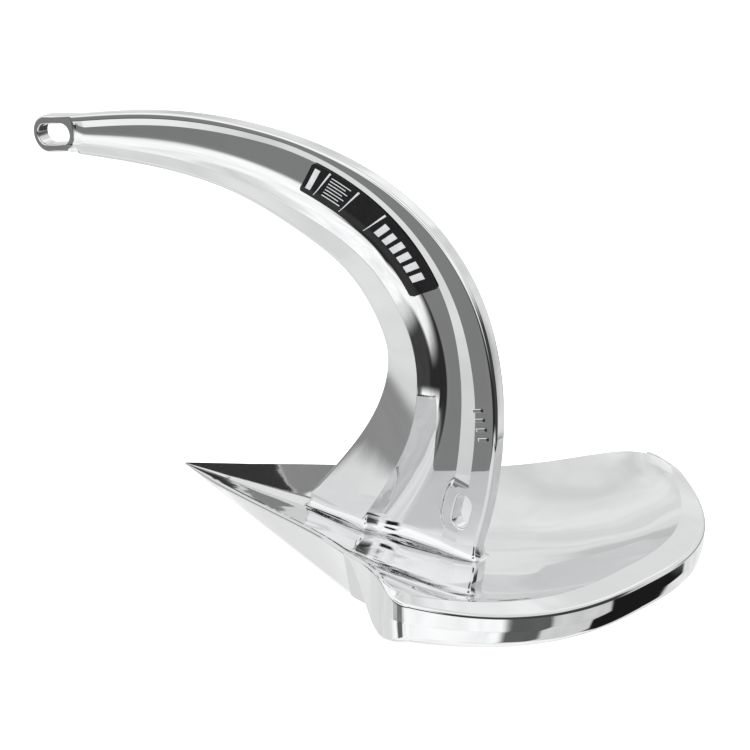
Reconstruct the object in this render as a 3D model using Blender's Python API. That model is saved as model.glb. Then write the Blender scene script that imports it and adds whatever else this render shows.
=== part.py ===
"""Scoop-fluke boat anchor with a swept shank, all in stainless steel.

Lengths are in metres and +Z is up. +X runs from the fluke's tip to its rear, and Y = 0 is the anchor's
plane of symmetry. The port side, seen from the shank's eye, is -Y.
Every mesh is drawn from the fluke's tip. The "datum" empty puts the tip where the origin of the frame is
under the middle of the anchor's bounding box, on the surface that the lowest piece touches.
"""

import math

import bmesh
import bpy
import numpy as np

# Where the fluke's tip lies in the frame.
TIP_X = -0.1733
TIP_Z = 0.0807

# Distance kept between two pieces that touch, and where one of them sits on a curved face.
GAP = 0.0003
SEAT_GAP = 0.0008

# Shank: matched points on its outer and inner edges, from the eye plate to the foot, as
# (outer x, outer z, inner x, inner z).
SHANK_STATIONS = [
    (-0.119, 0.307, -0.112, 0.270),
    (-0.010, 0.330, -0.008, 0.2765),
    (0.100, 0.337, 0.080, 0.270),
    (0.200, 0.326, 0.148, 0.251),
    (0.290, 0.288, 0.205, 0.223),
    (0.345, 0.225, 0.236, 0.186),
    (0.365, 0.148, 0.244, 0.150),
    (0.364, 0.095, 0.232, 0.112),
    (0.346, 0.0123, 0.156, 0.0123),
]
RIM_HALF = 0.007
RIM_ROUND = 0.0045
WEB_HALF = 0.005
VEE_NOSE_HALF = 0.004
VEE_ROOT = 0.42
SHANK_STEPS = 34

# Eye plate, at the shank's front end, and its slot.
EYE_CENTRE = (-0.157, 0.2835)
EYE_RADIUS = 0.0185
EYE_SLOT_CENTRE = (-0.1465, 0.2838)
EYE_SLOT_LENGTH = 0.040
EYE_SLOT_WIDTH = 0.0185
EYE_SLOT_TILT = math.radians(12)

# Heel slot, in the foot of the rim.
HEEL_SLOT_CENTRE = (0.3300, 0.0410)
HEEL_SLOT_LENGTH = 0.032
HEEL_SLOT_WIDTH = 0.0175
HEEL_SLOT_TILT = math.radians(75)

# Label on the port side of the shank, as shares of its length and of its depth.
LABEL_START = 0.404
LABEL_END = 0.634
LABEL_EDGE = 0.515

# Raised bars on the rim's port face, near the heel.
MARK_COUNT = 4
MARK_START = (0.3530, 0.1130)
MARK_PITCH = 0.0085
MARK_LENGTH = 0.0110
MARK_WIDTH = 0.0030
MARK_HEIGHT = 0.0008
MARK_TILT = math.radians(15)

# Fluke blade: its edge from the tip to the rear corner, as (x, half width, height).
EDGE_STATIONS = [
    (0.000, 0.000, 0.000),
    (0.140, 0.058, 0.0174),
    (0.270, 0.111, 0.0335),
    (0.315, 0.138, 0.0430),
    (0.350, 0.161, 0.0525),
    (0.380, 0.180, 0.0555),
    (0.404, 0.191, 0.0485),
]
BLADE_THICK = 0.006
BLADE_FRONT_X = 0.060
REAR_BULGE = 0.092
REAR_BULGE_POWER = 2.7
REAR_CENTRE_Z = 0.032
SCOOP_START_X = 0.330
BLADE_ROWS = 30
BLADE_HALF_COLUMNS = 12

# V bulb under the front of the fluke: straight lines from the tip, as slopes.
KEEL_DROP = 0.352
CHINE_OUT = 0.260
CHINE_DROP = 0.147
BULB_THICK = 0.006
BULB_KEEL_END_X = 0.228
BULB_END_SLOPE = 0.62
REAR_PLATE_GAP = 0.0012
BALLAST_START_X = 0.118
BALLAST_END_X = 0.185
BALLAST_FILL = 0.82

# Rolled lip round the palm.
LIP_WIDTH_MIDDLE = 0.026
LIP_WIDTH_CORNER = 0.008
LIP_WALL = 0.006
LIP_TUCK = 0.005
LIP_BOTTOM_Z = -0.002
SKIRT_START_X = 0.312

# Foot of the shank on the blade.
PAD_TOP_Z = 0.012
PAD_HALF_WIDTH = 0.029
PAD_FRONT_X = 0.141
PAD_REAR_X = 0.351
WELD_LEG = 0.005

STEEL = (0.78, 0.79, 0.80, 1.0)


def clear_scene():
    for item in list(bpy.data.objects):
        bpy.data.objects.remove(item, do_unlink=True)


def make_material(name, colour, roughness, metallic):
    material = bpy.data.materials.new(name)
    material.use_nodes = True
    shader = material.node_tree.nodes["Principled BSDF"]
    shader.inputs["Base Color"].default_value = colour
    shader.inputs["Roughness"].default_value = roughness
    shader.inputs["Metallic"].default_value = metallic
    return material


def smooth_step(value):
    """0 below 0, 1 above 1, and an S curve between."""
    value = min(max(value, 0.0), 1.0)
    return value * value * (3.0 - 2.0 * value)


def spline(points):
    """Natural cubic spline through the points, as a function of the share of their chord length."""
    points = np.array(points, float)
    count = len(points)
    chords = np.linalg.norm(np.diff(points, axis=0), axis=1)
    knots = np.concatenate([[0.0], np.cumsum(chords)]) / chords.sum()
    steps = np.diff(knots)
    matrix = np.eye(count)
    right = np.zeros_like(points)
    for i in range(1, count - 1):
        matrix[i, i - 1] = steps[i - 1]
        matrix[i, i] = 2.0 * (steps[i - 1] + steps[i])
        matrix[i, i + 1] = steps[i]
        ahead = (points[i + 1] - points[i]) / steps[i]
        behind = (points[i] - points[i - 1]) / steps[i - 1]
        right[i] = 6.0 * (ahead - behind)
    bends = np.linalg.solve(matrix, right)

    def at(share):
        i = int(np.searchsorted(knots, share, side="right")) - 1
        i = min(max(i, 0), count - 2)
        width = steps[i]
        left = (knots[i + 1] - share) / width
        rest = 1.0 - left
        line = left * points[i] + rest * points[i + 1]
        bend = (left**3 - left) * bends[i] + (rest**3 - rest) * bends[i + 1]
        return line + bend * width * width / 6.0

    return at


shank_edges = spline(SHANK_STATIONS)
blade_edge = spline(EDGE_STATIONS)


def add_object(name, mesh_data, material, datum):
    mesh = bpy.data.meshes.new(name)
    mesh_data.to_mesh(mesh)
    mesh_data.free()
    mesh.materials.append(material)
    item = bpy.data.objects.new(name, mesh)
    bpy.context.scene.collection.objects.link(item)
    item.parent = datum
    return item


def loft(name, sections, material, datum, sharp_angle=math.radians(25)):
    """A closed solid through sections, each a loop of as many points, with flat ends."""
    shape = bmesh.new()
    loops = []
    for section in sections:
        loops.append([shape.verts.new([float(value) for value in point]) for point in section])
    count = len(loops[0])
    for first, second in zip(loops, loops[1:]):
        for i in range(count):
            j = (i + 1) % count
            shape.faces.new((first[i], first[j], second[j], second[i]))
    shape.faces.new(loops[0])
    shape.faces.new(loops[-1])
    bmesh.ops.triangulate(shape, faces=[face for face in shape.faces if len(face.verts) > 4])
    bmesh.ops.recalc_face_normals(shape, faces=shape.faces[:])
    item = add_object(name, shape, material, datum)
    item.data.shade_smooth()
    item.data.set_sharp_from_angle(angle=sharp_angle)
    return item


def mirrored(half_profile):
    """A closed loop from a half profile of (along, out) points and its mirror image."""
    other = [(along, -out) for along, out in reversed(half_profile)]
    return list(half_profile) + other


# ---------------------------------------------------------------- shank


def shank_axis(share):
    """Outer edge point, unit vector towards the inner edge, and the depth between them."""
    outer_x, outer_z, inner_x, inner_z = shank_edges(share)
    run = np.array([inner_x - outer_x, inner_z - outer_z])
    depth = float(np.linalg.norm(run))
    return np.array([outer_x, outer_z]), run / depth, depth


def rim_face_depth(share):
    """How far the rim's flat side reaches from the outer edge."""
    body = 0.006 + 0.016 * smooth_step((share - 0.34) / 0.40)
    return body + 0.014 * smooth_step((share - 0.86) / 0.08)


def rim_root_depth(share):
    """Where the rim's sloping side meets the web."""
    return 0.012 + 0.027 * smooth_step((share - 0.33) / 0.50)


def crease_share(share):
    """Where the widest line of the vee flange lies, as a share of the depth."""
    return 0.70 - 0.09 * smooth_step((share - 0.30) / 0.40)


def crease_half(share):
    """Half width of the vee flange at its widest line."""
    return 0.011 + 0.009 * smooth_step(share / 0.55)


def shank_section(share, half_profile):
    """Places a profile of (depth, half width) across the shank."""
    outer, inward, _ = shank_axis(share)
    loop = []
    for along, out in mirrored(half_profile):
        place = outer + inward * along
        loop.append((place[0], out, place[1]))
    return loop


def rim_profile(share):
    face = rim_face_depth(share)
    root = max(rim_root_depth(share), face + 0.002)
    return [
        (0.0, RIM_HALF - RIM_ROUND),
        (0.3 * RIM_ROUND, RIM_HALF - 0.3 * RIM_ROUND),
        (RIM_ROUND, RIM_HALF),
        (face, RIM_HALF),
        (root, WEB_HALF),
    ]


def web_profile(share):
    _, _, depth = shank_axis(share)
    root = max(rim_root_depth(share), rim_face_depth(share) + 0.002)
    top = root + GAP
    bottom = max(VEE_ROOT * depth, top + 0.003) - GAP
    return [(top, WEB_HALF), (bottom, WEB_HALF)]


def vee_start(share):
    _, _, depth = shank_axis(share)
    root = max(rim_root_depth(share), rim_face_depth(share) + 0.002)
    return max(VEE_ROOT * depth, root + GAP + 0.003)


def vee_profile(share):
    _, _, depth = shank_axis(share)
    start = vee_start(share)
    crease = crease_share(share) * depth
    half = crease_half(share)
    points = []
    for i in range(7):
        part = i / 6
        points.append((start + (crease - start) * part, WEB_HALF + (half - WEB_HALF) * part**2.2))
    points.append((depth - 0.003, VEE_NOSE_HALF))
    points.append((depth, 0.5 * VEE_NOSE_HALF))
    return points


def build_shank(steel, datum):
    shares = [i / SHANK_STEPS for i in range(SHANK_STEPS + 1)]
    rim = loft("shank_rim", [shank_section(s, rim_profile(s)) for s in shares], steel, datum)
    cut_slot(rim, HEEL_SLOT_CENTRE, HEEL_SLOT_LENGTH, HEEL_SLOT_WIDTH, HEEL_SLOT_TILT, datum)
    loft("shank_web", [shank_section(s, web_profile(s)) for s in shares], steel, datum)
    loft("shank_vee_flange", [shank_section(s, vee_profile(s)) for s in shares], steel, datum)


def slot_outline(centre, length, width, tilt, steps=8):
    """A slot with round ends, in the X-Z plane."""
    radius = width / 2
    reach = (length - width) / 2
    points = []
    for side in (1, -1):
        for i in range(steps + 1):
            turn = -math.pi / 2 + math.pi * i / steps
            along = side * (reach + radius * math.cos(turn))
            across = side * radius * math.sin(turn)
            x = centre[0] + along * math.cos(tilt) - across * math.sin(tilt)
            z = centre[1] + along * math.sin(tilt) + across * math.cos(tilt)
            points.append((x, z))
    return points


def cut_slot(item, centre, length, width, tilt, datum):
    """Cuts a slot through a piece from side to side."""
    outline = slot_outline(centre, length, width, tilt)
    cutter = loft(
        item.name + "_slot_cutter",
        [[(x, y, z) for x, z in outline] for y in (-0.02, 0.02)],
        item.data.materials[0],
        datum,
    )
    cutter.hide_render = True
    cutter.display_type = "WIRE"
    cut = item.modifiers.new("slot", "BOOLEAN")
    cut.operation = "DIFFERENCE"
    cut.solver = "EXACT"
    cut.object = cutter


def build_eye(steel, datum):
    """The eye plate: a round nose, and a straight end that butts on the shank."""
    outer, inward, depth = shank_axis(0.0)
    back = np.array([-inward[1], inward[0]])
    if back[0] > 0:
        back = -back
    top = outer + inward * 0.0006 + back * GAP
    low = outer + inward * (depth - 0.0006) + back * GAP
    centre = np.array(EYE_CENTRE)
    outline = [tuple(top)]
    for i in range(15):
        turn = math.radians(102 + 174 * i / 14)
        outline.append(tuple(centre + EYE_RADIUS * np.array([math.cos(turn), math.sin(turn)])))
    outline.append((-0.1335, 0.2672))
    outline.append(tuple(low))
    edge = 0.002
    middle = np.mean(outline, axis=0)
    sections = []
    for y, inset in ((-RIM_HALF, edge), (-RIM_HALF + edge, 0.0), (RIM_HALF - edge, 0.0), (RIM_HALF, edge)):
        shrunk = []
        for x, z in outline:
            away = np.array([x, z]) - middle
            place = middle + away * (1.0 - inset / np.linalg.norm(away))
            shrunk.append((place[0], y, place[1]))
        sections.append(shrunk)
    plate = loft("shank_eye", sections, steel, datum)
    cut_slot(plate, EYE_SLOT_CENTRE, EYE_SLOT_LENGTH, EYE_SLOT_WIDTH, EYE_SLOT_TILT, datum)


def side_half_width(share, along):
    """Half width of the shank's side at a depth, between the rim's root and the crease."""
    profile = web_profile(share) + vee_profile(share)
    return float(np.interp(along, [point[0] for point in profile], [point[1] for point in profile]))


def build_label(vinyl, datum):
    """A thin label on the port side, from the rim's root well into the hollow of the vee flange."""
    sections = []
    for i in range(15):
        share = LABEL_START + (LABEL_END - LABEL_START) * i / 14
        outer, inward, depth = shank_axis(share)
        start = rim_root_depth(share) + 0.0005
        end = LABEL_EDGE * depth
        alongs = [start + (end - start) * k / 6 for k in range(7)]
        loop = []
        for along, lift in [(a, 0.0006) for a in alongs] + [(a, 0.0010) for a in reversed(alongs)]:
            place = outer + inward * along
            loop.append((place[0], -side_half_width(share, along) - lift, place[1]))
        sections.append(loop)
    loft("label", sections, vinyl, datum)


def build_size_marks(steel, datum):
    """Raised bars in a row on the port face of the rim."""
    along = np.array([math.cos(MARK_TILT), math.sin(MARK_TILT)])
    across = np.array([-along[1], along[0]])
    for i in range(MARK_COUNT):
        centre = np.array(MARK_START) + across * MARK_PITCH * i
        sections = []
        for height, spread in ((0.0, 1.0), (0.8 * MARK_HEIGHT, 0.95), (MARK_HEIGHT, 0.75)):
            loop = []
            for a, b in ((-1, -1), (1, -1), (1, 1), (-1, 1)):
                place = centre + (along * a * MARK_LENGTH + across * b * MARK_WIDTH) * spread / 2
                loop.append((place[0], -RIM_HALF - GAP - height, place[1]))
            sections.append(loop)
        loft(f"size_mark_{i + 1}", sections, steel, datum)


# ---------------------------------------------------------------- fluke


edge_table = np.array([blade_edge(i / 400) for i in range(401)])


def edge_at(x):
    """Half width and height of the blade's edge at x, ahead of its corner."""
    half = float(np.interp(x, edge_table[:, 0], edge_table[:, 1]))
    height = float(np.interp(x, edge_table[:, 0], edge_table[:, 2]))
    return half, height


def scoop_height(x):
    """Height of the blade's top along its middle."""
    rise = max(x - SCOOP_START_X, 0.0) / (EDGE_STATIONS[-1][0] + REAR_BULGE - SCOOP_START_X)
    return REAR_CENTRE_Z * rise * rise


def blade_point(share, across):
    """A point on the blade's top. share runs from the tip to the rear, across from -1 to 1."""
    edge_x, edge_y, edge_z = blade_edge(share)
    back = max(share - 0.45, 0.0) / 0.55
    bulge = REAR_BULGE * back * back
    x = edge_x + bulge * (1.0 - abs(across) ** REAR_BULGE_POWER)
    middle = scoop_height(edge_x + bulge)
    power = 1.0 + 2.6 * back * back
    z = middle + (edge_z - middle) * abs(across) ** power
    return np.array([x, edge_y * across, z])


def blade_height(x, y):
    """Height of the blade's top at a place in plan."""
    low = 0.05
    high = 1.0
    for _ in range(40):
        share = (low + high) / 2
        half = blade_edge(share)[1]
        if blade_point(share, min(abs(y) / half, 1.0))[0] < x:
            low = share
        else:
            high = share
    half = blade_edge(share)[1]
    return blade_point(share, min(abs(y) / half, 1.0))[2]


def build_blade(steel, datum):
    first = float(np.interp(BLADE_FRONT_X + GAP, edge_table[:, 0], np.linspace(0.0, 1.0, 401)))
    columns = [j / BLADE_HALF_COLUMNS for j in range(-BLADE_HALF_COLUMNS, BLADE_HALF_COLUMNS + 1)]
    sections = []
    for i in range(BLADE_ROWS + 1):
        share = first + (1.0 - first) * i / BLADE_ROWS
        top = [blade_point(share, across) for across in columns]
        bottom = [point - np.array([0.0, 0.0, BLADE_THICK]) for point in reversed(top)]
        sections.append(top + bottom)
    loft("fluke_blade", sections, steel, datum)


def build_tip_point(steel, datum):
    """The solid point: the blade's and the bulb's outer faces run together in it."""
    sections = []
    for x in (0.003, 0.010, 0.030, BLADE_FRONT_X):
        half, height = edge_at(x)
        chine = (CHINE_OUT * x, -CHINE_DROP * x)
        sections.append(
            [
                (x, half, height),
                (x, chine[0], chine[1]),
                (x, 0.0, -KEEL_DROP * x),
                (x, -chine[0], chine[1]),
                (x, -half, height),
                (x, 0.0, 0.0),
            ]
        )
    loft("tip_point", sections, steel, datum)


def on_slice(keel_x, lean, height_at):
    """Where a line from the tip, of height height_at(x), meets the sloping slice through the keel."""
    x = keel_x
    for _ in range(60):
        x = keel_x + (height_at(x) + KEEL_DROP * keel_x) * lean
    return x


def bulb_outline(keel_x, lean):
    """Outer points of the bulb's port half in one slice: under the edge, at the chine, at the keel."""
    top_x = on_slice(keel_x, lean, lambda x: edge_at(x)[1] - BLADE_THICK - SEAT_GAP)
    half, height = edge_at(top_x)
    chine_x = on_slice(keel_x, lean, lambda x: -CHINE_DROP * x)
    return [
        np.array([top_x, half, height - BLADE_THICK - SEAT_GAP]),
        np.array([chine_x, CHINE_OUT * chine_x, -CHINE_DROP * chine_x]),
        np.array([keel_x, GAP / 2, -KEEL_DROP * keel_x]),
    ]


def bulb_inline(keel_x, lean):
    """Inner points of the same slice, each a step (out, up) away from its outer point."""
    steps = [
        (-1.2 * BULB_THICK, -0.6 * BULB_THICK),
        (-0.9 * BULB_THICK, 0.55 * BULB_THICK),
        (0.0, 1.3 * BULB_THICK),
    ]
    points = []
    for point, (out, up) in zip(bulb_outline(keel_x, lean), steps):
        points.append(point + np.array([up * lean, out, up]))
    return points


def build_bulb(steel, datum):
    slices = []
    for i in range(9):
        part = i / 8
        keel_x = BLADE_FRONT_X + GAP + (BULB_KEEL_END_X - BLADE_FRONT_X) * part
        slices.append((keel_x, BULB_END_SLOPE * part * part))
    for name, side in (("bulb_port_plate", -1.0), ("bulb_starboard_plate", 1.0)):
        sections = []
        for keel_x, lean in slices:
            loop = bulb_outline(keel_x, lean) + list(reversed(bulb_inline(keel_x, lean)))
            sections.append([(p[0], side * p[1], p[2]) for p in loop])
        loft(name, sections, steel, datum)


def build_bulb_rear_plate(steel, datum):
    """Closes the bulb along its sloping rear slice, right under the blade."""
    keel_x = BULB_KEEL_END_X + GAP
    top, chine, keel = bulb_outline(keel_x, BULB_END_SLOPE)
    loop = [chine, keel, chine * np.array([1.0, -1.0, 1.0])]
    for k in range(-8, 9):
        y = (top[1] - 0.002) * k / 8
        x = on_slice(keel_x, BULB_END_SLOPE, lambda at: blade_height(at, y) - BLADE_THICK - SEAT_GAP)
        loop.append(np.array([x, y, blade_height(x, y) - BLADE_THICK - SEAT_GAP]))
    sections = []
    for offset in (REAR_PLATE_GAP, REAR_PLATE_GAP + BULB_THICK):
        sections.append([point + np.array([offset, 0.0, -GAP]) for point in loop])
    loft("bulb_rear_plate", sections, steel, datum)


def build_ballast(lead, datum):
    """The weight sealed in the bulb, in the shape of the bulb's hollow but smaller."""
    flip = np.array([1.0, -1.0, 1.0])
    sections = []
    for x in (BALLAST_START_X, BALLAST_END_X):
        top, chine, keel = bulb_inline(x, 0.0)
        valley = np.array([x, 0.0, -BLADE_THICK])
        loop = [top, chine, keel * np.array([1.0, 0.0, 1.0]), chine * flip, top * flip, valley]
        middle = np.mean(loop, axis=0)
        sections.append([middle + (point - middle) * BALLAST_FILL for point in loop])
    loft("tip_ballast", sections, lead, datum)


def skirt_bottom(x):
    """Height of the side skirt's lower edge."""
    return 0.034 - 0.032 * smooth_step((x - SKIRT_START_X) / 0.075)


def build_side_skirts(steel, datum):
    for name, side in (("palm_port_skirt", -1.0), ("palm_starboard_skirt", 1.0)):
        sections = []
        for i in range(11):
            x = SKIRT_START_X + (0.398 - SKIRT_START_X) * i / 10
            half, height = edge_at(x)
            ahead, _ = edge_at(x + 0.001)
            normal = np.array([-(ahead - half), 0.001])
            normal = normal / np.linalg.norm(normal)
            inner = np.array([x, half]) - normal * LIP_WALL
            top = height - BLADE_THICK - GAP
            low = skirt_bottom(x)
            sections.append(
                [
                    (x, side * half, top),
                    (x, side * half, low),
                    (inner[0], side * inner[1], low),
                    (inner[0], side * inner[1], top - 0.004),
                ]
            )
        loft(name, sections, steel, datum)


def lip_frame(across):
    """Point on the blade's rear edge, outward direction in plan, and the lip's width there."""
    point = blade_point(1.0, across)
    ahead = blade_point(1.0, across + 0.002) - blade_point(1.0, across - 0.002)
    outward = np.array([ahead[1], -ahead[0]])
    outward = outward / np.linalg.norm(outward)
    width = LIP_WIDTH_MIDDLE - (LIP_WIDTH_MIDDLE - LIP_WIDTH_CORNER) * abs(across) ** 3
    return point, outward, width


def build_rear_lip(steel, datum):
    sections = []
    for i in range(33):
        turn = -1.0 + 2.0 * i / 32
        across = 0.975 * math.sin(turn * math.pi / 2)
        point, outward, width = lip_frame(across)
        drop = 0.003 + 0.002 * abs(across) ** 2
        low = LIP_BOTTOM_Z + 0.007 * abs(across) ** 3
        top = point[2]
        profile = [
            (GAP, top),
            (width, top - drop),
            (width - LIP_TUCK, low),
            (width - LIP_TUCK - LIP_WALL, low),
            (width - LIP_WALL, top - drop - LIP_WALL),
            (GAP, top - LIP_WALL),
        ]
        loop = []
        for out, z in profile:
            loop.append((point[0] + outward[0] * out, point[1] + outward[1] * out, z))
        sections.append(loop)
    loft("palm_rear_lip", sections, steel, datum)


def build_underside_rib(steel, datum):
    """The stiffener under the middle of the blade, behind the bulb."""
    half = 0.004
    sections = []
    for i in range(13):
        x = 0.284 + (0.486 - 0.284) * i / 12
        top = scoop_height(x) - BLADE_THICK - 0.0008
        low = top - 0.026 + 0.014 * i / 12
        sections.append([(x, -half, top), (x, half, top), (x, half, low), (x, -half, low)])
    loft("underside_rib", sections, steel, datum)


def pad_half(x):
    """Half width of the foot pad."""
    front = smooth_step((x - PAD_FRONT_X + 0.010) / 0.075)
    rear = smooth_step((x - 0.285) / (PAD_REAR_X - 0.285))
    return 0.003 + (PAD_HALF_WIDTH - 0.003) * front * (1.0 - 0.50 * rear)


def build_foot_pad(steel, datum):
    sections = []
    for i in range(17):
        x = PAD_FRONT_X + (PAD_REAR_X - PAD_FRONT_X) * i / 16
        half = pad_half(x)
        loop = [(x, -half + 0.002, PAD_TOP_Z), (x, half - 0.002, PAD_TOP_Z)]
        for k in range(6, -7, -2):
            y = half * k / 6
            loop.append((x, y, blade_height(x, y) + 0.0007))
        sections.append(loop)
    loft("foot_pad", sections, steel, datum)


def foot_half_width(x):
    """Half width of the shank where it stands on the pad."""
    outer_x = SHANK_STATIONS[-1][0]
    profile = rim_profile(1.0) + web_profile(1.0) + vee_profile(1.0)
    along = [point[0] for point in profile]
    out = [point[1] for point in profile]
    return float(np.interp(outer_x - x, along, out))


def build_foot_welds(steel, datum):
    """Fillet welds along both sides of the shank's foot."""
    for name, side in (("foot_port_weld", -1.0), ("foot_starboard_weld", 1.0)):
        sections = []
        for i in range(25):
            x = 0.1580 + (0.3440 - 0.1580) * i / 24
            near = max(foot_half_width(x + lean) for lean in (-0.006, -0.003, 0.0, 0.001)) + SEAT_GAP
            low = PAD_TOP_Z + GAP
            sections.append(
                [
                    (x, side * near, low),
                    (x, side * (near + WELD_LEG), low),
                    (x, side * (near + 0.35 * WELD_LEG), low + 0.35 * WELD_LEG),
                    (x, side * near, low + WELD_LEG),
                ]
            )
        loft(name, sections, steel, datum)


def main():
    clear_scene()
    datum = bpy.data.objects.new("datum", None)
    datum.location = (TIP_X, 0.0, TIP_Z)
    bpy.context.scene.collection.objects.link(datum)
    steel = make_material("polished_steel", STEEL, 0.05, 1.0)
    lead = make_material("ballast_lead", (0.30, 0.31, 0.33, 1.0), 0.6, 0.8)
    vinyl = make_material("black_vinyl", (0.01, 0.01, 0.012, 1.0), 0.2, 0.0)
    build_shank(steel, datum)
    build_eye(steel, datum)
    build_label(vinyl, datum)
    build_size_marks(steel, datum)
    build_blade(steel, datum)
    build_tip_point(steel, datum)
    build_bulb(steel, datum)
    build_bulb_rear_plate(steel, datum)
    build_ballast(lead, datum)
    build_side_skirts(steel, datum)
    build_rear_lip(steel, datum)
    build_underside_rib(steel, datum)
    build_foot_pad(steel, datum)
    build_foot_welds(steel, datum)


main()
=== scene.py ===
"""Looks of the scoop-fluke boat anchor: fine mirror-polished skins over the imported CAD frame."""

import math

import bmesh
import bpy
import numpy as np
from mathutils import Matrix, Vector


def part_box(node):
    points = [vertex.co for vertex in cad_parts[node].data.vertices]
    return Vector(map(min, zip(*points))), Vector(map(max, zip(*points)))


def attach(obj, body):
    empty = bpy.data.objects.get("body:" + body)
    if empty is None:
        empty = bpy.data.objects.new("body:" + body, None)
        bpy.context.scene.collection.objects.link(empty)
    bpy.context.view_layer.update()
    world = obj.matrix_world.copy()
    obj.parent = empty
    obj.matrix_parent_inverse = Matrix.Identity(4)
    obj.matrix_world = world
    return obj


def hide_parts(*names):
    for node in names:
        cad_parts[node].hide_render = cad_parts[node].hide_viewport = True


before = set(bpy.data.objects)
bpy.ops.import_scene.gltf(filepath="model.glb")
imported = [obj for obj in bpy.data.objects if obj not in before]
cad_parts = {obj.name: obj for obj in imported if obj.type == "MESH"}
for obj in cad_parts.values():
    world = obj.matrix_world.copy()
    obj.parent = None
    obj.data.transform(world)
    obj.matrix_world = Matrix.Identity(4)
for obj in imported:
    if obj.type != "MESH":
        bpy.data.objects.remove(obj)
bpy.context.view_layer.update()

# The fluke's tip is the origin of every length below, in metres. The CAD's tip is cut off 3 mm behind it,
# and the blade's lowest face is one plate thickness under it.
TIP_CUT = 0.003
BLADE_THICK = 0.006
TIP = Vector((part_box("tip_point")[0][0] - TIP_CUT, 0.0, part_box("fluke_blade")[0][2] + BLADE_THICK))

# Shank, as in the CAD: matched points on its two edges, as (outer x, outer z, inner x, inner z). A share
# runs from 0 at the first pair to 1 at the last, and a depth runs from the outer edge inwards.
SHANK_STATIONS = [
    (-0.119, 0.307, -0.112, 0.270),
    (-0.010, 0.330, -0.008, 0.2765),
    (0.100, 0.337, 0.080, 0.270),
    (0.200, 0.326, 0.148, 0.251),
    (0.290, 0.288, 0.205, 0.223),
    (0.345, 0.225, 0.236, 0.186),
    (0.365, 0.148, 0.244, 0.150),
    (0.364, 0.095, 0.232, 0.112),
    (0.346, 0.0123, 0.156, 0.0123),
]
# About how long the shank is, and the share at its front end, a little ahead of the first pair.
SHANK_LENGTH = 0.72
SHANK_START = -0.009
SHANK_ROWS = 260
FRONT_ROWS = 40
FRONT_LENGTH = 0.020
FRONT_BLEND = 0.017
# Half widths of the shank's rim, web and inner nose, and the rounding of the rim and of the V's crease.
RIM_HALF = 0.007
WEB_HALF = 0.005
NOSE_HALF = 0.004
RIM_ROUND = 0.0055
CREASE_ROUND = 0.0007
# The rim's flat face and the root of its slope, as depths towards the eye and towards the heel. A reach is
# where such a change starts and how long it is.
RIM_FACE_DEPTHS = (0.0058, 0.0220)
RIM_FACE_REACH = (0.34, 0.40)
RIM_ROOT_DEPTHS = (0.0120, 0.0390)
RIM_ROOT_REACH = (0.33, 0.50)
RIM_ROOT_AT_EYE = 0.0082
RIM_SLOPE_LEAST = 0.0020
FACE_ROUND = 0.0006
ROOT_ROUND = 0.0012
ROOT_RUN = 0.0018
WEB_LEAST = 0.0015
WEB_LEAST_AT_EYE = 0.0010
# The V's crease, as a share of the depth and as a half width, towards the eye and towards the heel.
CREASE_SHARES = (0.70, 0.61)
CREASE_SHARE_REACH = (0.30, 0.40)
CREASE_HALVES = (0.011, 0.020)
CREASE_HALF_REACH = (0.0, 0.55)
NOSE_LENGTH = 0.003
NOSE_FLAT_HALF = 0.003
NOSE_ROUND = 0.0015
# How far behind the eye plate the section is full, at the crease and at the outer edge.
FRONT_RAMP_AT_CREASE = 0.0014
FRONT_RAMP_AT_EDGE = 0.0060
# The V starts at this share of the depth, and its flank curves out with this power.
VEE_ROOT = 0.42
VEE_POWER = 2.2
EYE_CENTRE = (-0.1555, 0.2821)
EYE_RADIUS = 0.0172
EYE_ROUND = 0.0020
EYE_CUT_START = (-0.1281, 0.2705)
EYE_SINK = 0.0004
EYE_NOSE_ROUND = 0.0012
EYE_BUTT_STEP = 0.0001
# A slot is its centre (x, z), its length, its width and its tilt.
EYE_SLOT = ((-0.1465, 0.2838), 0.040, 0.0185, math.radians(12))
HEEL_SLOT = ((0.3300, 0.0410), 0.032, 0.0175, math.radians(75))
HEEL_FROM = 0.80
HEEL_PAD_RADIUS = 0.0195
HEEL_PAD_SOFT = 0.0035
SLOT_LIP = 0.0014
SLOT_CLEAR = 0.0035
FLAT_WITHIN = 0.0002
# The foot's fillet as (x, height): low at the nose, full along the side and low again at the heel.
FOOT_STATIONS = [(0.150, 0.009), (0.203, 0.0135), (0.274, 0.0165), (0.315, 0.012), (0.350, 0.006)]
FOOT_SLOPE = 0.72
FOOT_POINTS = 260
FOOT_SINK = 0.0004
FOOT_TUCK = 0.0020
FOOT_UNDER = 0.0015

# Label: shares of the shank where it starts and ends, how far its upper edge is from the rim's root, its
# lower edge as a share of the depth, and the heights of its under side, its face and its print.
LABEL_START = 0.407
LABEL_END = 0.638
LABEL_CLEAR = 0.0005
LABEL_EDGE = 0.530
LABEL_UNDER = 0.0004
LABEL_FACE = 0.0010
LABEL_PRINT = 0.00112
# Its rounded corners and its print, as shares along it and across it.
LABEL_CORNER = (0.022, 0.09)
PRINT_BAND = (0.030, 0.066, 0.14, 0.86)
PRINT_SLANTS = (0.120, 0.322, 0.520)

# Fluke: points (x, half width, height) along the blade's edge, as in the CAD.
EDGE_STATIONS = [
    (0.000, 0.000, 0.000),
    (0.140, 0.058, 0.0174),
    (0.270, 0.111, 0.0335),
    (0.315, 0.138, 0.0430),
    (0.350, 0.161, 0.0525),
    (0.380, 0.180, 0.0555),
    (0.404, 0.191, 0.0485),
]
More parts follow.
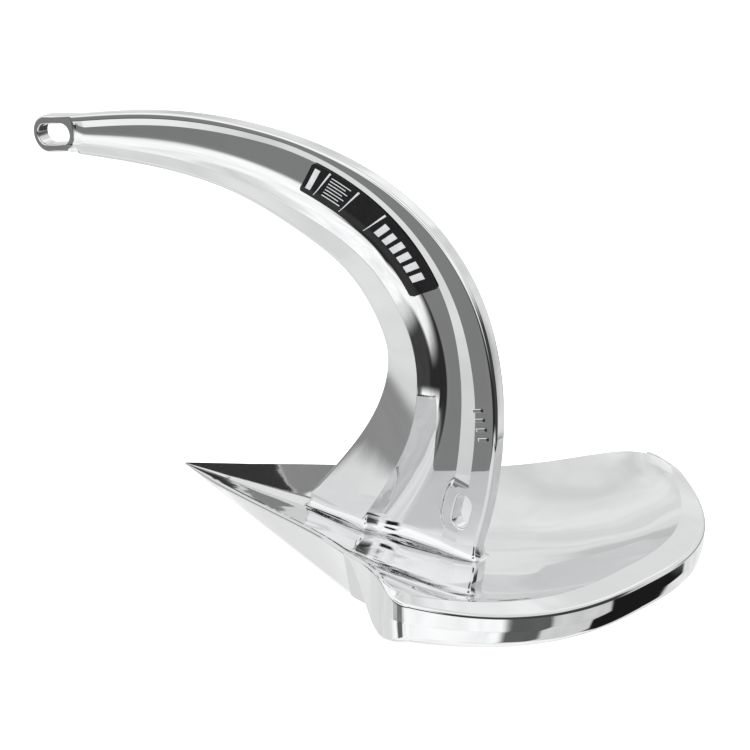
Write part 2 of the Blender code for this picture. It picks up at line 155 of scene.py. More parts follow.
# A share runs from 0 at the tip to 1 at the rear corner, and across runs from 0 in the middle to 1.
PALM_START = 0.45
PALM_POWER = 2.6
REAR_BULGE = 0.092
REAR_BULGE_POWER = 2.7
REAR_CENTRE_Z = 0.032
SCOOP_START_X = 0.330
TIP_X = 0.0032
TIP_RUN_OUT = 0.070
TIP_LEAST = 0.10
VALLEY_STRIP = 0.13
# Bulb: the slopes of its keel and of its chines, seen from the side and from above.
KEEL_DROP = 0.352
CHINE_OUT = 0.260
CHINE_DROP = 0.147
CHINE_SOFT = 0.055
BULB_START_X = 0.0045
BULB_LEAN_X = 0.060
BULB_KEEL_END_X = 0.230
BULB_END_SLOPE = 0.62
BULB_STRIP = 1.3 * VALLEY_STRIP
# How deep in the blade's plate the bulb ends, as shares of the plate, and how far inside the blade's edge.
BULB_TOP = 0.92
BULB_VALLEY = 0.95
BULB_VALLEY_SLICE = 0.90
BULB_INSET = 0.0006
# Rolled rear edge: its width, wall, tuck below and turned-in foot.
LIP_WIDTH_MIDDLE = 0.026
LIP_WIDTH_CORNER = 0.008
LIP_WALL = 0.006
LIP_TUCK = 0.005
LIP_BOTTOM_Z = -0.002
LIP_CORNER_RISE = 0.007
LIP_DROP_MIDDLE = 0.003
LIP_DROP_CORNER = 0.005
LIP_RETURN = 0.017
LIP_ROUND_FROM = 0.955
LIP_ROUND_TO_X = 0.386
LIP_END_OUT = 0.0002
LIP_END_FOOT = 0.0004
LIP_END_TUCK = 0.0002
LIP_END_DROP = 0.0015
LIP_END_RETURN = 0.0055
# Its section: the belly as shares of the wall's height and of the tuck, the foot, the overlap, roundings.
LIP_BELLY_DOWN = 0.45
LIP_BELLY_IN = 0.15
LIP_BELLY_ROUND = 0.0120
LIP_FOOT_RISE = 0.0012
LIP_FOOT_TOP = 0.0052
LIP_FOOT_ROUND = 0.0100
LIP_OVERLAP = 0.0010
LIP_CREST = 0.0004
LIP_CREST_DEPTH = 0.0030
LIP_ROUND = 0.0040
LIP_HOLLOW_ROUND = 0.0020
LIP_RETURN_ROUND = 0.0006
# The palm's rear corners, its side skirts, and small steps along a line.
CORNER_CUT = 0.0028
CORNER_CUT_SHARE = 0.045
SKIRT_START_X = 0.306
SKIRT_END_X = LIP_ROUND_TO_X + 0.006
SKIRT_BOTTOM_HEIGHTS = (0.034, 0.002)
SKIRT_DROP_REACH = (0.312, 0.075)
SKIRT_TOP = 0.0045
SKIRT_LEAST = 0.0015
SKIRT_ROUND = 0.0022
SKIRT_INNER_ROUND = 0.0010
SKIRT_INNER_DROP = 0.0010
SKIRT_SINK = 0.0003
SLOPE_STEP = 0.002
SHARE_STEP = 0.001

# Studio: the cards as (name, low corner, high corner, lightness) in one plane, and where that plane is.
FLOOR_HALF = 6.0
FLAGS = [
    ("black_flag", (-0.110, -0.050), (0.000, 0.060), 0.020),
    ("low_black_flag", (-0.070, -0.125), (0.050, -0.055), 0.020),
    ("grey_flag", (0.001, -0.045), (0.068, 0.060), 0.205),
]
FLAG_PLACE = Vector((-0.107, 0.131, 0.216))
FLAG_FACING = Vector((0.62, -0.45, -0.60))
# Light that the steel mirrors for a tone of 255, the tent's own tone, and light on everything else.
MIRROR_LIGHT = 1.326
TENT_TONE = 220
PLAIN_LIGHT = 1.35
# Steel of the skins, and of the pieces that keep the CAD's shape.
STEEL_COLOUR = (0.76, 0.765, 0.77)
PLATE_COLOUR = (0.74, 0.745, 0.75)
# The camera's aim is from the tip, and its back is the direction from the aim to the camera.
CAMERA_AIM = Vector((0.2278, 0.0, 0.1392))
CAMERA_BACK = Vector((0.6021, -0.7175, 0.3502))
CAMERA_DISTANCE = 3.359
CAMERA_LENS = 187.2


# ---------------------------------------------------------------- shared shapes


def smooth_step(value):
    value = min(max(value, 0.0), 1.0)
    return value * value * (3.0 - 2.0 * value)


def mix(start, end, part):
    return start + (end - start) * part


def unit(vector):
    return vector / np.linalg.norm(vector)


def change(values, reach, place):
    """From the first value to the second over a reach, which is where it starts and how long it is."""
    start, length = reach
    return mix(*values, smooth_step((place - start) / length))


def divided(start, end, count):
    """The ends of count equal parts of the line from start to end."""
    return [mix(np.array(start), np.array(end), k / count) for k in range(1, count + 1)]


def bend_at(start, corner, end, t):
    """A point of the curve that leaves start towards the corner and ends at end, for t from 0 to 1."""
    return (1 - t) ** 2 * start + 2 * t * (1 - t) * corner + t * t * end


def spline(points):
    """Natural cubic spline through the points, as a function of the share of their chord length."""
    points = np.array(points, float)
    count = len(points)
    chords = np.linalg.norm(np.diff(points, axis=0), axis=1)
    knots = np.concatenate([[0.0], np.cumsum(chords)]) / chords.sum()
    steps = np.diff(knots)
    matrix = np.eye(count)
    right = np.zeros_like(points)
    for i in range(1, count - 1):
        matrix[i, i - 1] = steps[i - 1]
        matrix[i, i] = 2.0 * (steps[i - 1] + steps[i])
        matrix[i, i + 1] = steps[i]
        ahead = (points[i + 1] - points[i]) / steps[i]
        behind = (points[i] - points[i - 1]) / steps[i - 1]
        right[i] = 6.0 * (ahead - behind)
    bends = np.linalg.solve(matrix, right)

    def at(share):
        i = int(np.searchsorted(knots, share, side="right")) - 1
        i = min(max(i, 0), count - 2)
        width = steps[i]
        left = (knots[i + 1] - share) / width
        rest = 1.0 - left
        line = left * points[i] + rest * points[i + 1]
        bend = (left**3 - left) * bends[i] + (rest**3 - rest) * bends[i + 1]
        return line + bend * width * width / 6.0

    return at


shank_edges = spline(SHANK_STATIONS)
edge_line = spline(EDGE_STATIONS)


def blade_edge(share):
    """The blade's edge, drawn in a little where it ends so that the palm's rear corner is round."""
    drawn_in = CORNER_CUT * smooth_step((share - 1.0 + CORNER_CUT_SHARE) / CORNER_CUT_SHARE)
    return edge_line(share) - np.array([0.0, drawn_in, 0.0])


OTHER_SIDE = np.array([1.0, -1.0, 1.0])
edge_shares = np.linspace(0.0, 1.0, 801)
edge_table = np.array([blade_edge(share) for share in edge_shares])


def rounded(corners, steps=5):
    """A polyline with its corners rounded. Each corner is (a, b, radius) and an end has radius 0."""
    points = []
    for i, (a, b, radius) in enumerate(corners):
        here = np.array([a, b])
        if radius <= 0.0:
            points.append(here)
            continue
        before = np.array(corners[i - 1][:2]) - here
        after = np.array(corners[i + 1][:2]) - here
        reach = min(np.linalg.norm(before), np.linalg.norm(after)) * 0.49
        before = unit(before)
        after = unit(after)
        half = math.acos(float(np.clip(before @ after, -0.9999, 0.9999))) / 2
        back = min(radius / math.tan(half), reach)
        start = here + before * back
        end = here + after * back
        points += [bend_at(start, here, end, k / steps) for k in range(steps + 1)]
    return points


def make_piece(name, points, faces, replaces=(), sharp=math.radians(28)):
    """One mesh piece, given in lengths from the tip and smooth but for edges above the sharp angle."""
    mesh = bpy.data.meshes.new(name)
    mesh.from_pydata([tuple(Vector(point) + TIP) for point in points], [], faces)
    shape = bmesh.new()
    shape.from_mesh(mesh)
    bmesh.ops.remove_doubles(shape, verts=shape.verts[:], dist=1e-6)
    bmesh.ops.triangulate(shape, faces=[face for face in shape.faces if len(face.verts) > 4])
    bmesh.ops.recalc_face_normals(shape, faces=shape.faces[:])
    shape.to_mesh(mesh)
    shape.free()
    piece = bpy.data.objects.new(name, mesh)
    bpy.context.scene.collection.objects.link(piece)
    mesh.shade_smooth()
    mesh.set_sharp_from_angle(angle=sharp)
    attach(piece, "root")
    if replaces:
        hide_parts(*replaces)
    return piece


def keep_flats(piece):
    """Flat faces shade flat, and only the roundings between them carry the turn."""
    weighted = piece.modifiers.new("flat_faces", "WEIGHTED_NORMAL")
    weighted.weight = 100
    weighted.keep_sharp = True


def loft_faces(rows, columns, caps):
    """Faces between rows of points that are closed loops, with the two end loops filled if caps is True."""
    faces = []
    for i in range(rows - 1):
        for j in range(columns):
            k = (j + 1) % columns
            faces.append((i * columns + j, i * columns + k, (i + 1) * columns + k, (i + 1) * columns + j))
    if caps:
        faces.append(tuple(range(columns)))
        faces.append(tuple((rows - 1) * columns + j for j in range(columns)))
    return faces


def loft_piece(name, sections, replaces=(), sharp=math.radians(28), caps=True):
    """A piece through the sections. Without caps its ends stay open and its shading unweighted."""
    points = [point for section in sections for point in section]
    faces = loft_faces(len(sections), len(sections[0]), caps)
    piece = make_piece(name, points, faces, replaces, sharp)
    if caps:
        keep_flats(piece)
    return piece


# ---------------------------------------------------------------- shank


def shank_axis(share):
    """The outer edge's point, the direction inwards to the inner edge, and the distance between them."""
    outer_x, outer_z, inner_x, inner_z = shank_edges(share)
    run = np.array([inner_x - outer_x, inner_z - outer_z])
    depth = float(np.linalg.norm(run))
    return np.array([outer_x, outer_z]), run / depth, depth


def front_share(share):
    """0 where the shank meets the eye plate and 1 a thumb's width behind it."""
    return smooth_step((share - SHANK_START) * SHANK_LENGTH / FRONT_BLEND)


def rim_face_depth(share):
    return change(RIM_FACE_DEPTHS, RIM_FACE_REACH, share)


def rim_root_depth(share):
    full = change(RIM_ROOT_DEPTHS, RIM_ROOT_REACH, share)
    return mix(RIM_ROOT_AT_EYE, full, front_share(share))


def crease_share(share):
    return change(CREASE_SHARES, CREASE_SHARE_REACH, share)


def crease_half(share):
    return change(CREASE_HALVES, CREASE_HALF_REACH, share)


def slot_distance(place, slot):
    """Distance from a point of the X-Z plane to a slot's centre line."""
    centre, length, width, tilt = slot
    reach = (length - width) / 2
    along = np.array([math.cos(tilt), math.sin(tilt)])
    away = np.array(place) - np.array(centre)
    part = min(max(float(away @ along), -reach), reach)
    return float(np.linalg.norm(away - along * part))


def shank_profile(share):
    """Half profile of the shank as (depth, half width) from the outer edge to the inner nose."""
    _, _, depth = shank_axis(share)
    face = rim_face_depth(share)
    root = max(rim_root_depth(share), face + RIM_SLOPE_LEAST)
    web = root + ROOT_RUN
    front = front_share(share)
    vee = mix(web + WEB_LEAST_AT_EYE, max(VEE_ROOT * depth, web + WEB_LEAST), front)
    crease = crease_share(share) * depth
    half = crease_half(share)
    points = [np.array([0.0, 0.0])]
    points += rounded([(0.0, 0.0, 0.0), (0.0, RIM_HALF, RIM_ROUND), (face, RIM_HALF, 0.0)], 8)[1:-1]
    points += divided((RIM_ROUND, RIM_HALF), (face - FACE_ROUND, RIM_HALF), 5)
    bend = [
        (face - FACE_ROUND, RIM_HALF, 0.0),
        (face, RIM_HALF, FACE_ROUND),
        (root, WEB_HALF, ROOT_ROUND),
        (web, WEB_HALF, 0.0),
    ]
    points += rounded(bend, 4)[1:]
    points += divided((web, WEB_HALF), (vee, WEB_HALF), 20)
    for k in range(1, 20):
        part = k / 20
        points.append(np.array([mix(vee, crease, part), mix(WEB_HALF, half, part**VEE_POWER)]))
    flank = divided((crease, half), (depth - NOSE_LENGTH, NOSE_HALF), 8)
    points += rounded([(*points[-1], 0.0), (crease, half, CREASE_ROUND), (*flank[0], 0.0)], 4)[1:]
    points += flank[1:]
    nose = [(*points[-1], 0.0), (depth, NOSE_FLAT_HALF, NOSE_ROUND), (depth, 0.0, 0.0)]
    points += rounded(nose, 5)[1:]
    return points


def shank_half(share, along, half, place):
    """Half width with the start at the eye plate and the pad round the heel slot worked in."""
    arc = (share - SHANK_START) * SHANK_LENGTH
    _, _, depth = shank_axis(share)
    crease = crease_share(share) * depth
    ramp = mix(FRONT_RAMP_AT_EDGE, FRONT_RAMP_AT_CREASE, min(along / crease, 1.0))
    grown = smooth_step(arc / ramp)
    if along < RIM_ROUND:
        flush = min(RIM_HALF, half)
    elif along <= crease:
        flush = RIM_HALF
    else:
        narrow = (RIM_HALF - NOSE_HALF) / (crease_half(share) - NOSE_HALF)
        flush = min(half, mix(NOSE_HALF, half, narrow))
    half = mix(flush, half, grown) if half > 0.0 else 0.0
    if share > HEEL_FROM:
        near = slot_distance(place, HEEL_SLOT)
        pad = 1.0 - smooth_step((near - HEEL_PAD_RADIUS) / HEEL_PAD_SOFT)
        if half > 0.0 and along > RIM_ROUND:
            half = mix(half, RIM_HALF, pad)
    return half


def shank_grid():
    """The shank's sections from the eye plate to the foot, closest together behind the eye plate."""
    sections = []
    behind = SHANK_START + FRONT_LENGTH / SHANK_LENGTH
    shares = list(np.linspace(SHANK_START, behind, FRONT_ROWS, endpoint=False))
    shares += list(np.linspace(behind, 1.0, SHANK_ROWS))
    for share in shares:
        outer, inward, _ = shank_axis(share)
        port = []
        for along, half in shank_profile(share):
            place = outer + inward * along
            half = shank_half(share, along, half, place)
            port.append((place[0], -half, place[1]))
        starboard = [(x, -y, z) for x, y, z in reversed(port[1:-1])]
        sections.append(port + starboard)
    return sections


def slot_outline(slot, grow):
    """Points (x, z) round a slot with half-round ends, grown outwards by grow."""
    centre, length, width, tilt = slot
    steps = 14
    radius = width / 2 + grow
    reach = (length - width) / 2
    points = []
    for side in (1, -1):
        for i in range(steps + 1):
            turn = -math.pi / 2 + math.pi * i / steps
            along = side * (reach + radius * math.cos(turn))
            across = side * radius * math.sin(turn)
            x = centre[0] + along * math.cos(tilt) - across * math.sin(tilt)
            z = centre[1] + along * math.sin(tilt) + across * math.cos(tilt)
            points.append((x, z))
    return points


def open_slot(piece, slot):
    """Takes the flat faces over a slot away on both sides and fills what is left up to the slot's lip."""
    shape = bmesh.new()
    shape.from_mesh(piece.data)
    clear = slot[2] / 2 + SLOT_LIP + SLOT_CLEAR
    for side in (-1.0, 1.0):
        level = side * RIM_HALF
        inside = []
        for vert in shape.verts:
            place = vert.co - TIP
            flat = abs(place.y - level) < FLAT_WITHIN
            if flat and slot_distance((place.x, place.z), slot) < clear:
                inside.append(vert)
        bmesh.ops.delete(shape, geom=inside, context="VERTS")
        open_edges = [edge for edge in shape.edges if edge.is_boundary]
        rim = [edge for edge in open_edges if edge.verts[0].co.y * side > RIM_HALF / 2]
        lip = [shape.verts.new(Vector((x, level, z)) + TIP) for x, z in slot_outline(slot, SLOT_LIP)]
        lip_edges = [shape.edges.new((lip[i], lip[(i + 1) % len(lip)])) for i in range(len(lip))]
        filled = bmesh.ops.triangle_fill(shape, use_beauty=True, edges=rim + lip_edges)
        for item in filled["geom"]:
            if isinstance(item, bmesh.types.BMFace):
                item.smooth = True
    bmesh.ops.recalc_face_normals(shape, faces=shape.faces[:])
    shape.to_mesh(piece.data)
    shape.free()


def slot_lip(name, slot):
    """The slot's wall, with its edge rounded into both flat faces."""
    sections = []
    steps = 6
    for side in (-1, 1):
        order = range(steps + 1) if side < 0 else range(steps, -1, -1)
        for k in order:
            turn = math.pi / 2 * k / steps
            grow = SLOT_LIP * (1.0 - math.sin(turn))
            y = side * (RIM_HALF - SLOT_LIP * (1.0 - math.cos(turn)))
            sections.append([(x, y, z) for x, z in slot_outline(slot, grow)])
    return loft_piece(name, sections, sharp=math.radians(60), caps=False)


def build_shank():
    sections = shank_grid()
    skin = loft_piece("shank_skin", sections, ("shank_rim", "shank_web", "shank_vee_flange"))
    open_slot(skin, HEEL_SLOT)
    lip = slot_lip("heel_slot_lip", HEEL_SLOT)
    return [skin, lip], sections


def eye_outline():
    """The plate's edge from the shank's top round the eye and back. A row is the edge's (x, z), the flat
    side's (x, z) beside it, the depth of the rounding and 1 where that is a straight bevel."""
    outer, inward, depth = shank_axis(SHANK_START)
    ahead = shank_axis(SHANK_START + SHARE_STEP)[0] - outer
    sink = unit(ahead) * EYE_SINK
    top = outer + sink
    end = outer + inward * (depth - EYE_NOSE_ROUND) + sink
    crease = outer + inward * crease_share(SHANK_START) * depth + sink
    centre = np.array(EYE_CENTRE)
    reach = top - centre
    first = math.atan2(reach[1], reach[0]) + math.acos(EYE_RADIUS / np.linalg.norm(reach))
    cut = np.array(EYE_CUT_START)
    reach = cut - centre
    last = math.atan2(reach[1], reach[0]) - math.acos(EYE_RADIUS / np.linalg.norm(reach)) + 2 * math.pi
    arc = [centre + EYE_RADIUS * np.array([math.cos(t), math.sin(t)]) for t in np.linspace(first, last, 60)]
    plain = [mix(top, arc[0], k / 24) for k in range(24)] + arc
    plain += divided(arc[-1], cut, 12)
    slot_centre = np.array(EYE_SLOT[0])
    bevel = RIM_HALF - NOSE_HALF
    rows = []
    for place in plain:
        flat = place + unit(slot_centre - place) * EYE_ROUND
        rows.append([*place, *flat, EYE_ROUND, 0.0])
    for k in range(1, 13):
        part = k / 12
        side = mix(flat, crease, part)
        rows.append([*mix(cut, end, part), *side, mix(EYE_ROUND, bevel, part), 1.0])
    bevelled = 8
    for k in range(1, 24):
        place = mix(end, top, k / 24)
        if k < bevelled:
            part = k / bevelled
            rows.append([*place, *mix(crease, place, part), bevel * (1.0 - part), 1.0])
        else:
            rows.append([*place, *place, EYE_BUTT_STEP, 1.0])
    return np.array(rows)


def slot_reach(slot, turn):
    """How far a slot's edge is from its centre in the direction of turn."""
    _, length, width, _ = slot
    low = 0.0
    high = length
    for _ in range(40):
        middle = (low + high) / 2
        place = np.array(slot[0]) + middle * np.array([math.cos(turn), math.sin(turn)])
        if slot_distance(place, slot) < width / 2:
            low = middle
        else:
            high = middle
    return low


def build_eye():
    """The eye plate as one ring: slot wall, lip, flat side and rounded edge, and so on the far side."""
    outline = eye_outline()
    slot_centre = np.array(EYE_SLOT[0])
    steps = 6
    rows = []
    away = outline[:, :2] - slot_centre
    reach = np.linalg.norm(away, axis=1)
    turns = np.arctan2(away[:, 1], away[:, 0])
    toward = away / reach[:, None]
    wall = np.array([slot_reach(EYE_SLOT, turn) for turn in turns])
    for k in range(steps + 1):
        turn = math.pi / 2 * k / steps
        ring = slot_centre + toward * (wall + SLOT_LIP * (1.0 - math.cos(turn)))[:, None]
        height = np.full(len(outline), RIM_HALF - SLOT_LIP * (1.0 - math.sin(turn)))
        rows.append(np.column_stack([ring[:, 0], height, ring[:, 1]]))
    bevel = outline[:, 5]
    for k in range(steps + 1):
        turn = math.pi / 2 * k / steps
        inward = mix(1.0 - math.sin(turn), 1.0 - k / steps, bevel)
        down = mix(1.0 - math.cos(turn), k / steps, bevel)
        ring = mix(outline[:, :2], outline[:, 2:4], inward[:, None])
        height = RIM_HALF - outline[:, 4] * down
        rows.append(np.column_stack([ring[:, 0], height, ring[:, 1]]))
    port = [row * OTHER_SIDE for row in rows]
    sections = port + rows[::-1]
    points = [tuple(point) for section in sections for point in section]
    faces = loft_faces(len(sections), len(outline), caps=False)
    last = (len(sections) - 1) * len(outline)
    for j in range(len(outline)):
        k = (j + 1) % len(outline)
        faces.append((last + j, last + k, k, j))
    plate = make_piece("eye_skin", points, faces, ("shank_eye",))
    keep_flats(plate)
    return [plate]


def even_loop(points, count):
    """The same closed line with evenly spaced points."""
    closed = np.vstack([points, points[:1]])
    steps = np.linalg.norm(np.diff(closed, axis=0), axis=1)
    arc = np.concatenate([[0.0], np.cumsum(steps)])
    places = np.linspace(0.0, arc[-1], count, endpoint=False)
    return np.column_stack([np.interp(places, arc, closed[:, k]) for k in range(3)])


def foot_height(x):
    places, heights = zip(*FOOT_STATIONS)
    return float(np.interp(x, places, heights))


def build_foot(sections):
    """The filleted seat all round the shank's foot."""
    columns = len(sections[0])
    ring = []
    for j in range(columns):
        for i in range(len(sections) - 1, 0, -1):
            low = np.array(sections[i][j])
            high = np.array(sections[i - 1][j])
            level = blade_height(high[0], high[1]) + foot_height(high[0])
            if high[2] >= level:
                part = (level - low[2]) / (high[2] - low[2]) if high[2] > low[2] else 1.0
                ring.append(mix(low, high, min(max(part, 0.0), 1.0)))
                break
    ring = even_loop(np.array(ring), FOOT_POINTS)
    ahead = np.roll(ring, -2, axis=0) - np.roll(ring, 2, axis=0)
    turned = np.roll(ring, -1, axis=0)
    area = np.sum(ring[:, 0] * turned[:, 1] - turned[:, 0] * ring[:, 1])
    normals = np.column_stack([ahead[:, 1], -ahead[:, 0]]) * np.sign(area)
    normals = normals / np.linalg.norm(normals, axis=1)[:, None]
    for _ in range(4):
        normals = normals + np.roll(normals, 1, axis=0) + np.roll(normals, -1, axis=0)
        normals = normals / np.linalg.norm(normals, axis=1)[:, None]
    rows = []
    steps = 10
    for k in range(-1, steps + 2):
        turn = math.pi / 2 * min(max(k, 0), steps) / steps
        row = []
        for place, normal in zip(ring, normals):
            width = foot_height(place[0]) * FOOT_SLOPE
            out = width * (1.0 - math.cos(turn)) - FOOT_SINK
            if k < 0:
                out = -FOOT_TUCK
            spot = place[:2] + normal * out
            base = blade_height(spot[0], spot[1])
            rise = (place[2] - base) * (1.0 - math.sin(turn))
            if k > steps:
                rise = -FOOT_UNDER
            row.append((spot[0], spot[1], base + rise))
        rows.append(row)
    names = ("foot_pad", "foot_port_weld", "foot_starboard_weld")
    return [loft_piece("foot_fillet", rows, names, math.radians(80), caps=False)]


# ---------------------------------------------------------------- fluke


def edge_at(x):
    """The blade's half width and its edge's height at x."""
    return [float(np.interp(x, edge_table[:, 0], edge_table[:, column])) for column in (1, 2)]


def scoop_height(x):
    rise = max(x - SCOOP_START_X, 0.0) / (EDGE_STATIONS[-1][0] + REAR_BULGE - SCOOP_START_X)
    return REAR_CENTRE_Z * rise * rise


def blade_point(share, across):
    """A point of the blade's top: flat in the valley, straight to the edge, and dished in the palm."""
    edge_x, edge_y, edge_z = blade_edge(share)
    back = max(share - PALM_START, 0.0) / (1.0 - PALM_START)
    bulge = REAR_BULGE * back * back
    x = edge_x + bulge * (1.0 - abs(across) ** REAR_BULGE_POWER)
    middle = scoop_height(edge_x + bulge)
    power = 1.0 + PALM_POWER * back * back
    strip = VALLEY_STRIP * (1.0 - back)
    rise = max(abs(across) - strip, 0.0) / (1.0 - strip)
    return np.array([x, edge_y * across, mix(middle, edge_z, rise**power)])


def blade_height(x, y):
    """The height of the blade's top at (x, y), found by halving the range of shares."""
    low = 0.02
    high = 1.0
    for _ in range(24):
        share = (low + high) / 2
        half = blade_edge(share)[1]
        if blade_point(share, min(abs(y) / half, 1.0))[0] < x:
            low = share
        else:
            high = share
    return float(blade_point(share, min(abs(y) / blade_edge(share)[1], 1.0))[2])


def plate_depth(x):
    """The blade's thickness, which runs out in the solid point."""
    return BLADE_THICK * min(1.0, TIP_LEAST + x / TIP_RUN_OUT)


def build_blade():
    """The blade from the point to the rear, with rounded edges, as one closed sheet."""
    rows = 150
    columns = 40
    sections = []
    first = float(np.interp(TIP_X, edge_table[:, 0], edge_shares))
    for i in range(rows + 1):
        share = mix(first, 1.0, i / rows)
        edge = blade_edge(share)
        thick = plate_depth(edge[0])
        radius = thick / 2
        last = max(1.0 - radius / edge[1], 0.3)
        half = [blade_point(share, last * k / columns) for k in range(columns + 1)]
        rim = half[-1]
        arc = []
        for k in range(1, 8):
            turn = math.pi * k / 8
            y = rim[1] + (edge[1] - rim[1]) * math.sin(turn)
            arc.append(np.array([rim[0], y, rim[2] - radius + radius * math.cos(turn)]))
        under = [point - np.array([0.0, 0.0, thick]) for point in reversed(half)]
        side = half + arc + under
        other = [point * OTHER_SIDE for point in reversed(side[1:-1])]
        sections.append([tuple(point) for point in side + other])
    names = ("fluke_blade", "tip_point")
    return [loft_piece("fluke_skin", sections, names, math.radians(22))]


def on_slice(keel_x, lean, height_at):
    """Where a line of the bulb meets the leaning slice that passes through the keel at keel_x."""
    x = keel_x
    for _ in range(60):
        x = keel_x + (height_at(x) + KEEL_DROP * keel_x) * lean
    return x


def build_bulb():
    """The V bulb: flat sides from the blade's edge to the soft chine and on to the keel, and a flat end."""
    sections = []
    rows = 40
    for i in range(rows + 1):
        keel_x = mix(BULB_START_X, BULB_KEEL_END_X, i / rows)
        ahead = max(keel_x - BULB_LEAN_X, 0.0) / (BULB_KEEL_END_X - BULB_LEAN_X)
        lean = BULB_END_SLOPE * ahead * ahead
        top_x = on_slice(keel_x, lean, lambda x: edge_at(x)[1] - plate_depth(x))
        half, height = edge_at(top_x)
        thick = plate_depth(top_x)
        chine_x = on_slice(keel_x, lean, lambda x: -CHINE_DROP * x)
        top = np.array([top_x, half - BULB_INSET * thick / BLADE_THICK, height - thick * BULB_TOP])
        chine = np.array([chine_x, CHINE_OUT * chine_x, -CHINE_DROP * chine_x])
        keel = np.array([keel_x, 0.0, -KEEL_DROP * keel_x])
        soft = CHINE_SOFT * keel_x
        points = []
        for k in range(7):
            points.append(top + (chine - top) * k / 6 * (1.0 - soft / np.linalg.norm(chine - top)))
        start = points[-1]
        end = chine + unit(keel - chine) * soft
        points += [bend_at(start, chine, end, k / 6) for k in range(1, 7)]
        points += divided(end, keel, 5)
        mirror = [point * OTHER_SIDE for point in reversed(points[:-1])]
        valley_x = on_slice(keel_x, lean, lambda x: -BULB_VALLEY_SLICE * plate_depth(x))
        strip = BULB_STRIP * edge_at(valley_x)[0]
        floor = -BULB_VALLEY * plate_depth(valley_x)
        valley = [np.array([valley_x, y, floor]) for y in (-strip, 0.0, strip)]
        sections.append([tuple(point) for point in points + mirror + valley])
    names = ("bulb_port_plate", "bulb_starboard_plate", "bulb_rear_plate")
    return [loft_piece("bulb_skin", sections, names)]


def skirt_bottom(x):
    return change(SKIRT_BOTTOM_HEIGHTS, SKIRT_DROP_REACH, x)


def edge_slope(x):
    """How fast the blade's half width grows with x."""
    return (edge_at(x)[0] - edge_at(x - SLOPE_STEP)[0]) / SLOPE_STEP


def build_skirts():
    """The palm's turned-down sides, from nothing behind the bulb to the rolled rear edge."""
    pieces = []
    for name, side in (("port", -1.0), ("starboard", 1.0)):
        sections = []
        for i in range(61):
            x = mix(SKIRT_START_X, SKIRT_END_X, i / 60)
            half, height = edge_at(x)
            normal = unit(np.array([-edge_slope(x), 1.0]))
            top = height - SKIRT_TOP
            low = min(skirt_bottom(x), top - SKIRT_LEAST)
            corners = [
                (0.0, top, 0.0),
                (0.0, low, SKIRT_ROUND),
                (-LIP_WALL, low, SKIRT_INNER_ROUND),
                (-LIP_WALL, top - SKIRT_INNER_DROP, 0.0),
            ]
            row = []
            for out, z in rounded(corners, 5):
                spot = np.array([x, half]) + normal * (out - SKIRT_SINK)
                row.append((spot[0], side * spot[1], z))
            sections.append(row)
        node = f"palm_{name}_skirt"
        pieces.append(loft_piece(f"{name}_skirt_skin", sections, (node,)))
    return pieces


def lip_section(point, outward, width, tuck, drop, low, turned_in=LIP_RETURN):
    """One section of the rolled rear edge, from the blade's top over the wall to the turned-in foot. Its
    corners are (distance outwards, height, radius)."""
    top = point[2]
    edge = top - drop
    belly = mix(edge, low, LIP_BELLY_DOWN)
    belly_out = width - LIP_BELLY_IN * tuck
    foot = width - tuck
    back = foot - turned_in
    corners = [
        (-LIP_OVERLAP, top - LIP_CREST_DEPTH, 0.0),
        (-LIP_CREST, top, LIP_CREST),
        (width, edge, LIP_ROUND),
        (belly_out, belly, LIP_BELLY_ROUND),
        (foot, low, LIP_FOOT_ROUND),
        (back, low + LIP_FOOT_RISE, LIP_RETURN_ROUND),
        (back, low + LIP_FOOT_TOP, LIP_RETURN_ROUND),
        (foot - LIP_WALL, low + LIP_FOOT_TOP, LIP_ROUND),
        (belly_out - LIP_WALL, belly, LIP_ROUND),
        (width - LIP_WALL, edge - LIP_WALL, LIP_HOLLOW_ROUND),
        (-LIP_OVERLAP, top - LIP_WALL, 0.0),
    ]
    row = []
    for out, z in rounded(corners, 7):
        row.append((point[0] + outward[0] * out, point[1] + outward[1] * out, z))
    return row


def crossing(start, along, end, back):
    """Where two lines in plan meet, each given by a point and a direction."""
    shares = np.linalg.solve(np.column_stack([along, -back]), end - start)
    return start + along * shares[0]


